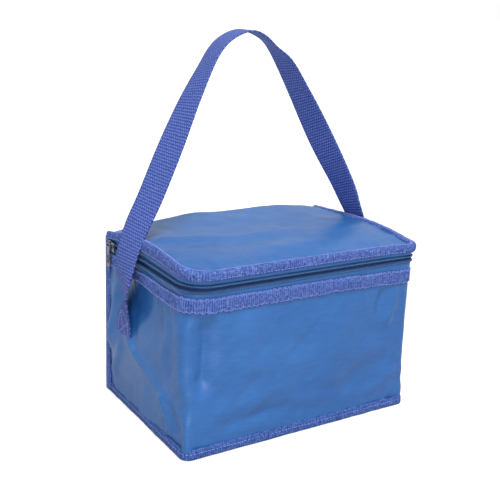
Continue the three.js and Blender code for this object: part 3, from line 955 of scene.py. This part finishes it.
def handle():
    line, tangent, run = spline(np.array(LOOP, float) * (MM, MM, MM, math.pi / 180), 900)
    line, turn = line[:, :3], line[:, 3]
    across = np.stack([-np.sin(turn), np.cos(turn), 0 * turn], -1)
    across -= (across * tangent).sum(1)[:, None] * tangent
    across = unit(across)
    normal = np.cross(tangent, across)
    half, thick = 12.5 * MM, 0.75 * MM
    # the section's outline: flat faces with slightly raised selvedges and round edges
    columns = np.linspace(-1, 1, 15)
    top = [(c * half, thick * (1 + 0.25 * (abs(c) > 0.9))) for c in columns]
    section = [(x, y) for x, y in top] + [(x, -y) for x, y in reversed(top)]
    section[0] = (-half * 0.985, thick * 0.9)
    section[14] = (half * 0.985, thick * 0.9)
    section[15] = (half * 0.985, -thick * 0.9)
    section[-1] = (-half * 0.985, -thick * 0.9)
    ribs = 0.5 + 0.5 * np.sin(2 * math.pi * run / WEBBING_ROW)
    cup = 0.6 * MM * cloud(run, 0 * run, 60 * MM, 81)
    verts = []
    uvs = []
    for i in range(len(line)):
        for x, y in section:
            depth = y * (0.86 + 0.24 * ribs[i])
            bow = cup[i] * (1 - (x / half) ** 2)
            verts.append(line[i] + across[i] * x + normal[i] * (depth + bow))
            uvs.append((run[i], x))
    count = len(section)
    faces = [f[::-1] for f in grid_faces(len(line), count, close_columns=True)]
    faces += caps(len(line), count)
    piece = mesh_object("handle_strap", verts, faces, uvs)
    piece.data.materials.append(WEBBING)
    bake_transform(piece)
    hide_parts("handle_end_left", "handle_webbing", "handle_end_right")
    sewn_box(line, across, normal, run, "left", -1)
    sewn_box(line[::-1], across[::-1], normal[::-1], run, "right", 1)


def sewn_box(line, across, normal, run, name, side):
    """Stitches in a box with a cross, on the sewn end of the handle."""
    near, far, half = 3.5 * MM, 27 * MM, 9.5 * MM

    def place(a, b):
        i = np.interp(b, run, np.arange(len(run)))
        k = int(i)
        out = normal[k] * (1 if normal[k][0] * side > 0 else -1)
        return line[k] + across[k] * a + out * 0.9 * MM, out

    corners = [(-half, near), (half, near), (half, far), (-half, far)]
    runs = [(corners[i], corners[(i + 1) % 4]) for i in range(4)]
    runs += [(corners[0], corners[2]), (corners[1], corners[3])]
    for index, (start, end) in enumerate(runs):
        shares = np.linspace(0, 1, 14)
        (x0, y0), (x1, y1) = start, end
        spots = [place(x0 + (x1 - x0) * t, y0 + (y1 - y0) * t) for t in shares]
        row = stitch_row(
            f"handle_stitches_{name}_{index}", [p for p, _ in spots], [n for _, n in spots],
            2.3 * MM, 0.6 * MM, 0.6 * MM, THREAD, "body", "thread",
        )
    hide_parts(f"handle_stitch_{name}")


handle()

# ------------------------------
# Lining


def wall_lining():
    inset = CLOTH_X - LINING_X
    s = path_steps(3 * MM)
    z = np.linspace(LINING_Z + 0.4 * MM, BAND_TOP - 1 * MM, 40)
    ss, zz = np.meshgrid(s, z, indexing="ij")
    folds = 0.5 * MM * cloud(ss, zz, 22 * MM, 91, 3)
    reach = smooth((zz - (BAND_TOP - 10 * MM)) / (9 * MM)) * (inset - 2.0 * MM)
    x, y, nx, ny = along(ss, zz)
    offset = -inset - 0.3 * MM - np.abs(folds) + reach
    offset = np.minimum(offset, wall_offset(ss, zz) - 2.6 * MM)
    keep = (inset + 1 * MM) * smooth(1 - np.minimum(ss, LENGTH - ss) / (9 * MM))
    points = np.stack([x + nx * offset, y + ny * offset - keep, zz], -1)
    piece = sheet("wall_lining_film", points, s, z, 0.35 * MM, outside=-1.0)
    dress(piece, LINING, "body", "lining", "wall_lining")


def base_lining():
    columns, rows = np.linspace(-1, 1, 60), np.linspace(-1, 1, 40)
    vv, uu = np.meshgrid(rows, columns, indexing="ij")
    y = vv * (LINING_Y - 0.6 * MM)
    reach = np.clip((-LINING_Y + 10 * MM - y) / (10 * MM), 0, 1)
    x = uu * (LINING_X - 0.6 * MM - 10 * MM * (1 - np.sqrt(1 - reach**2)))
    z = LINING_Z + 0.1 * MM + 0.5 * MM * np.abs(cloud(x, y, 25 * MM, 92, 3))
    piece = sheet("base_lining_film", np.stack([x, y, z], -1), rows * LINING_Y, columns * LINING_X)
    dress(piece, LINING, "body", "lining", "base_lining")


def lid_and_back_lining():
    """Film under the lid that turns down the back on the inside of the fold."""
    depth = 4.6 * MM
    columns = np.linspace(-1, 1, 70)
    rows = []
    for y in np.linspace(-CLOTH_Y + 4 * MM, CLOTH_Y - 7 * MM, 44):
        x = lid_span(columns, y - 3 * MM, 4 * MM)
        yy = np.full_like(x, y)
        z = lid_height(x * 0.98, yy) - depth - 0.4 * MM * np.abs(cloud(x, yy, 20 * MM, 93, 3))
        rows.append(np.stack([x, yy, np.maximum(z, RIM_BOTTOM - 1.5 * MM)], -1))
    last = rows[-1]
    start = last[:, 2] - 1 * MM
    for share in np.linspace(0, 1, 50):
        z = start + (LINING_Z + 0.3 * MM - start) * share
        x = columns * (LINING_X - 0.8 * MM)
        y = LINING_Y - 0.6 * MM - 0.4 * MM * np.abs(cloud(x, z, 24 * MM, 94, 3))
        rows.append(np.stack([x, np.broadcast_to(y, x.shape), z], -1))
    points = np.stack(rows)
    run = np.arange(len(rows)) * 3 * MM
    piece = sheet("lid_and_back_lining", points, run, columns * LINING_X, 0.35 * MM, outside=-1.0)
    piece.data.materials.append(LINING)
    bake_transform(piece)
    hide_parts("lid_lining", "back_lining")


wall_lining()
base_lining()
lid_and_back_lining()

# ------------------------------
# Foam pads, which follow the cloth over them


def foam_pads():
    thick = 2.4 * MM
    s = path_steps(4 * MM, 6 * MM, LENGTH - 6 * MM)
    z = np.linspace(LINING_Z + 1 * MM, BAND_BOTTOM + 4 * MM, 30)
    ss, zz = np.meshgrid(s, z, indexing="ij")
    offsets = np.minimum(wall_offset(ss, zz), 0) - 1.1 * MM
    walls = sheet("wall_foam_pad", wrapped(ss, offsets, zz), s, z, thick)
    dress(walls, FOAM, "body", "foam", "wall_foam")
    x = np.linspace(-1, 1, 50) * (CLOTH_X - 4 * MM)
    zz, xx = np.meshgrid(np.linspace(LINING_Z + 1 * MM, RIM_BOTTOM - 6 * MM, 30), x, indexing="ij")
    yy = CLOTH_Y - 1.1 * MM + np.minimum(back_offset(xx, zz), 0)
    back = sheet("back_foam_pad", np.stack([xx, yy, zz], -1), zz[:, 0], x, thick)
    dress(back, FOAM, "body", "foam", "back_foam")
    # the lid's pad stops where the cloth over it begins to bend
    y = np.linspace(-CLOTH_Y + 3 * MM, CLOTH_Y - 14 * MM, 40)
    xx = np.stack([lid_span(np.linspace(1, -1, 50), depth, 4 * MM) for depth in y])
    yy = np.broadcast_to(y[:, None], xx.shape)
    zz = lid_height(xx, yy) - 1.2 * MM
    top = sheet("lid_foam_pad", np.stack([xx, yy, zz], -1), y, x, thick)
    dress(top, FOAM, "lid", "foam", "lid_foam")


foam_pads()

# ------------------------------
# Pieces kept from the frame


def dress_kept():
    dress(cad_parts["base_foam"], FOAM)
    dress(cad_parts["base_outer_panel"], NYLON)
    for name in ("zip_slider", "zip_puller"):
        piece = dress(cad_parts[name], METAL)
        edge = piece.modifiers.new("edge", "BEVEL")
        edge.width = 0.25 * MM
        edge.segments = 2
        edge.limit_method = "ANGLE"


dress_kept()

# ------------------------------
# Floor and lights


def make_floor():
    size = 80.0
    corners = [(-size, -size, 0), (size, -size, 0), (size, size, 0), (-size, size, 0)]
    floor = mesh_object("floor", corners, [(0, 1, 2, 3)])
    floor.location.z = -0.2 * MM
    floor.data.materials.append(pale_floor())


def add_light(name, kind, place, aim, power, size):
    """A light at a place, aimed at a point. size is an area's width in metres or a sun's angle."""
    data = bpy.data.lights.new(name, kind)
    data.energy = power
    if kind == "SUN":
        data.angle = size
    else:
        data.size = size
    light = bpy.data.objects.new(name, data)
    light.location = place
    light.rotation_euler = (Vector(aim) - Vector(place)).to_track_quat("-Z", "Y").to_euler()
    bpy.context.scene.collection.objects.link(light)


def make_lights():
    """A white room that looks brighter than the light it casts, a soft sun and two soft boxes."""
    bpy.context.scene.view_settings.view_transform = "Standard"
    world = bpy.data.worlds.new("studio")
    bpy.context.scene.world = world
    world.use_nodes = True
    tree = world.node_tree
    shown = tree.nodes["Background"]
    shown.inputs["Color"].default_value = (1, 1, 1, 1)
    shown.inputs["Strength"].default_value = 1.0
    cast = tree.nodes.new("ShaderNodeBackground")
    cast.inputs["Color"].default_value = (1, 1, 1, 1)
    # brightest above the front, with a fainter glow low behind the bag
    direction = tree.nodes.new("ShaderNodeTexCoord").outputs["Generated"]
    parts = []
    glows = (((0.1, -0.7, 0.7), -0.5, 0.12, 0.9), ((0.5, 0.8, 0.33), 0.3, 0.0, 0.55))
    for bright, lowest, faint, strong in glows:
        facing = tree.nodes.new("ShaderNodeVectorMath")
        facing.operation = "DOT_PRODUCT"
        facing.inputs[1].default_value = bright
        tree.links.new(direction, facing.inputs[0])
        part = tree.nodes.new("ShaderNodeMapRange")
        part.interpolation_type = "SMOOTHSTEP"
        part.inputs["From Min"].default_value = lowest
        part.inputs["To Min"].default_value = faint
        part.inputs["To Max"].default_value = strong
        tree.links.new(facing.outputs["Value"], part.inputs["Value"])
        parts.append(part.outputs["Result"])
    total = tree.nodes.new("ShaderNodeMath")
    tree.links.new(parts[0], total.inputs[0])
    tree.links.new(parts[1], total.inputs[1])
    tree.links.new(total.outputs[0], cast.inputs["Strength"])
    choice = tree.nodes.new("ShaderNodeMixShader")
    tree.links.new(tree.nodes.new("ShaderNodeLightPath").outputs["Is Camera Ray"], choice.inputs["Fac"])
    tree.links.new(cast.outputs[0], choice.inputs[1])
    tree.links.new(shown.outputs[0], choice.inputs[2])
    tree.links.new(choice.outputs[0], tree.nodes["World Output"].inputs["Surface"])
    middle = (0, 0, 0.1)
    add_light("sun", "SUN", (-0.18, -0.8, 1.9), middle, 2.5, math.radians(16))
    add_light("left_box", "AREA", (-1.0, 0.8, 0.55), middle, 2, 0.25)
    add_light("front_box", "AREA", (-0.8, -1.25, 0.4), middle, 7, 0.8)


make_floor()
make_lights()
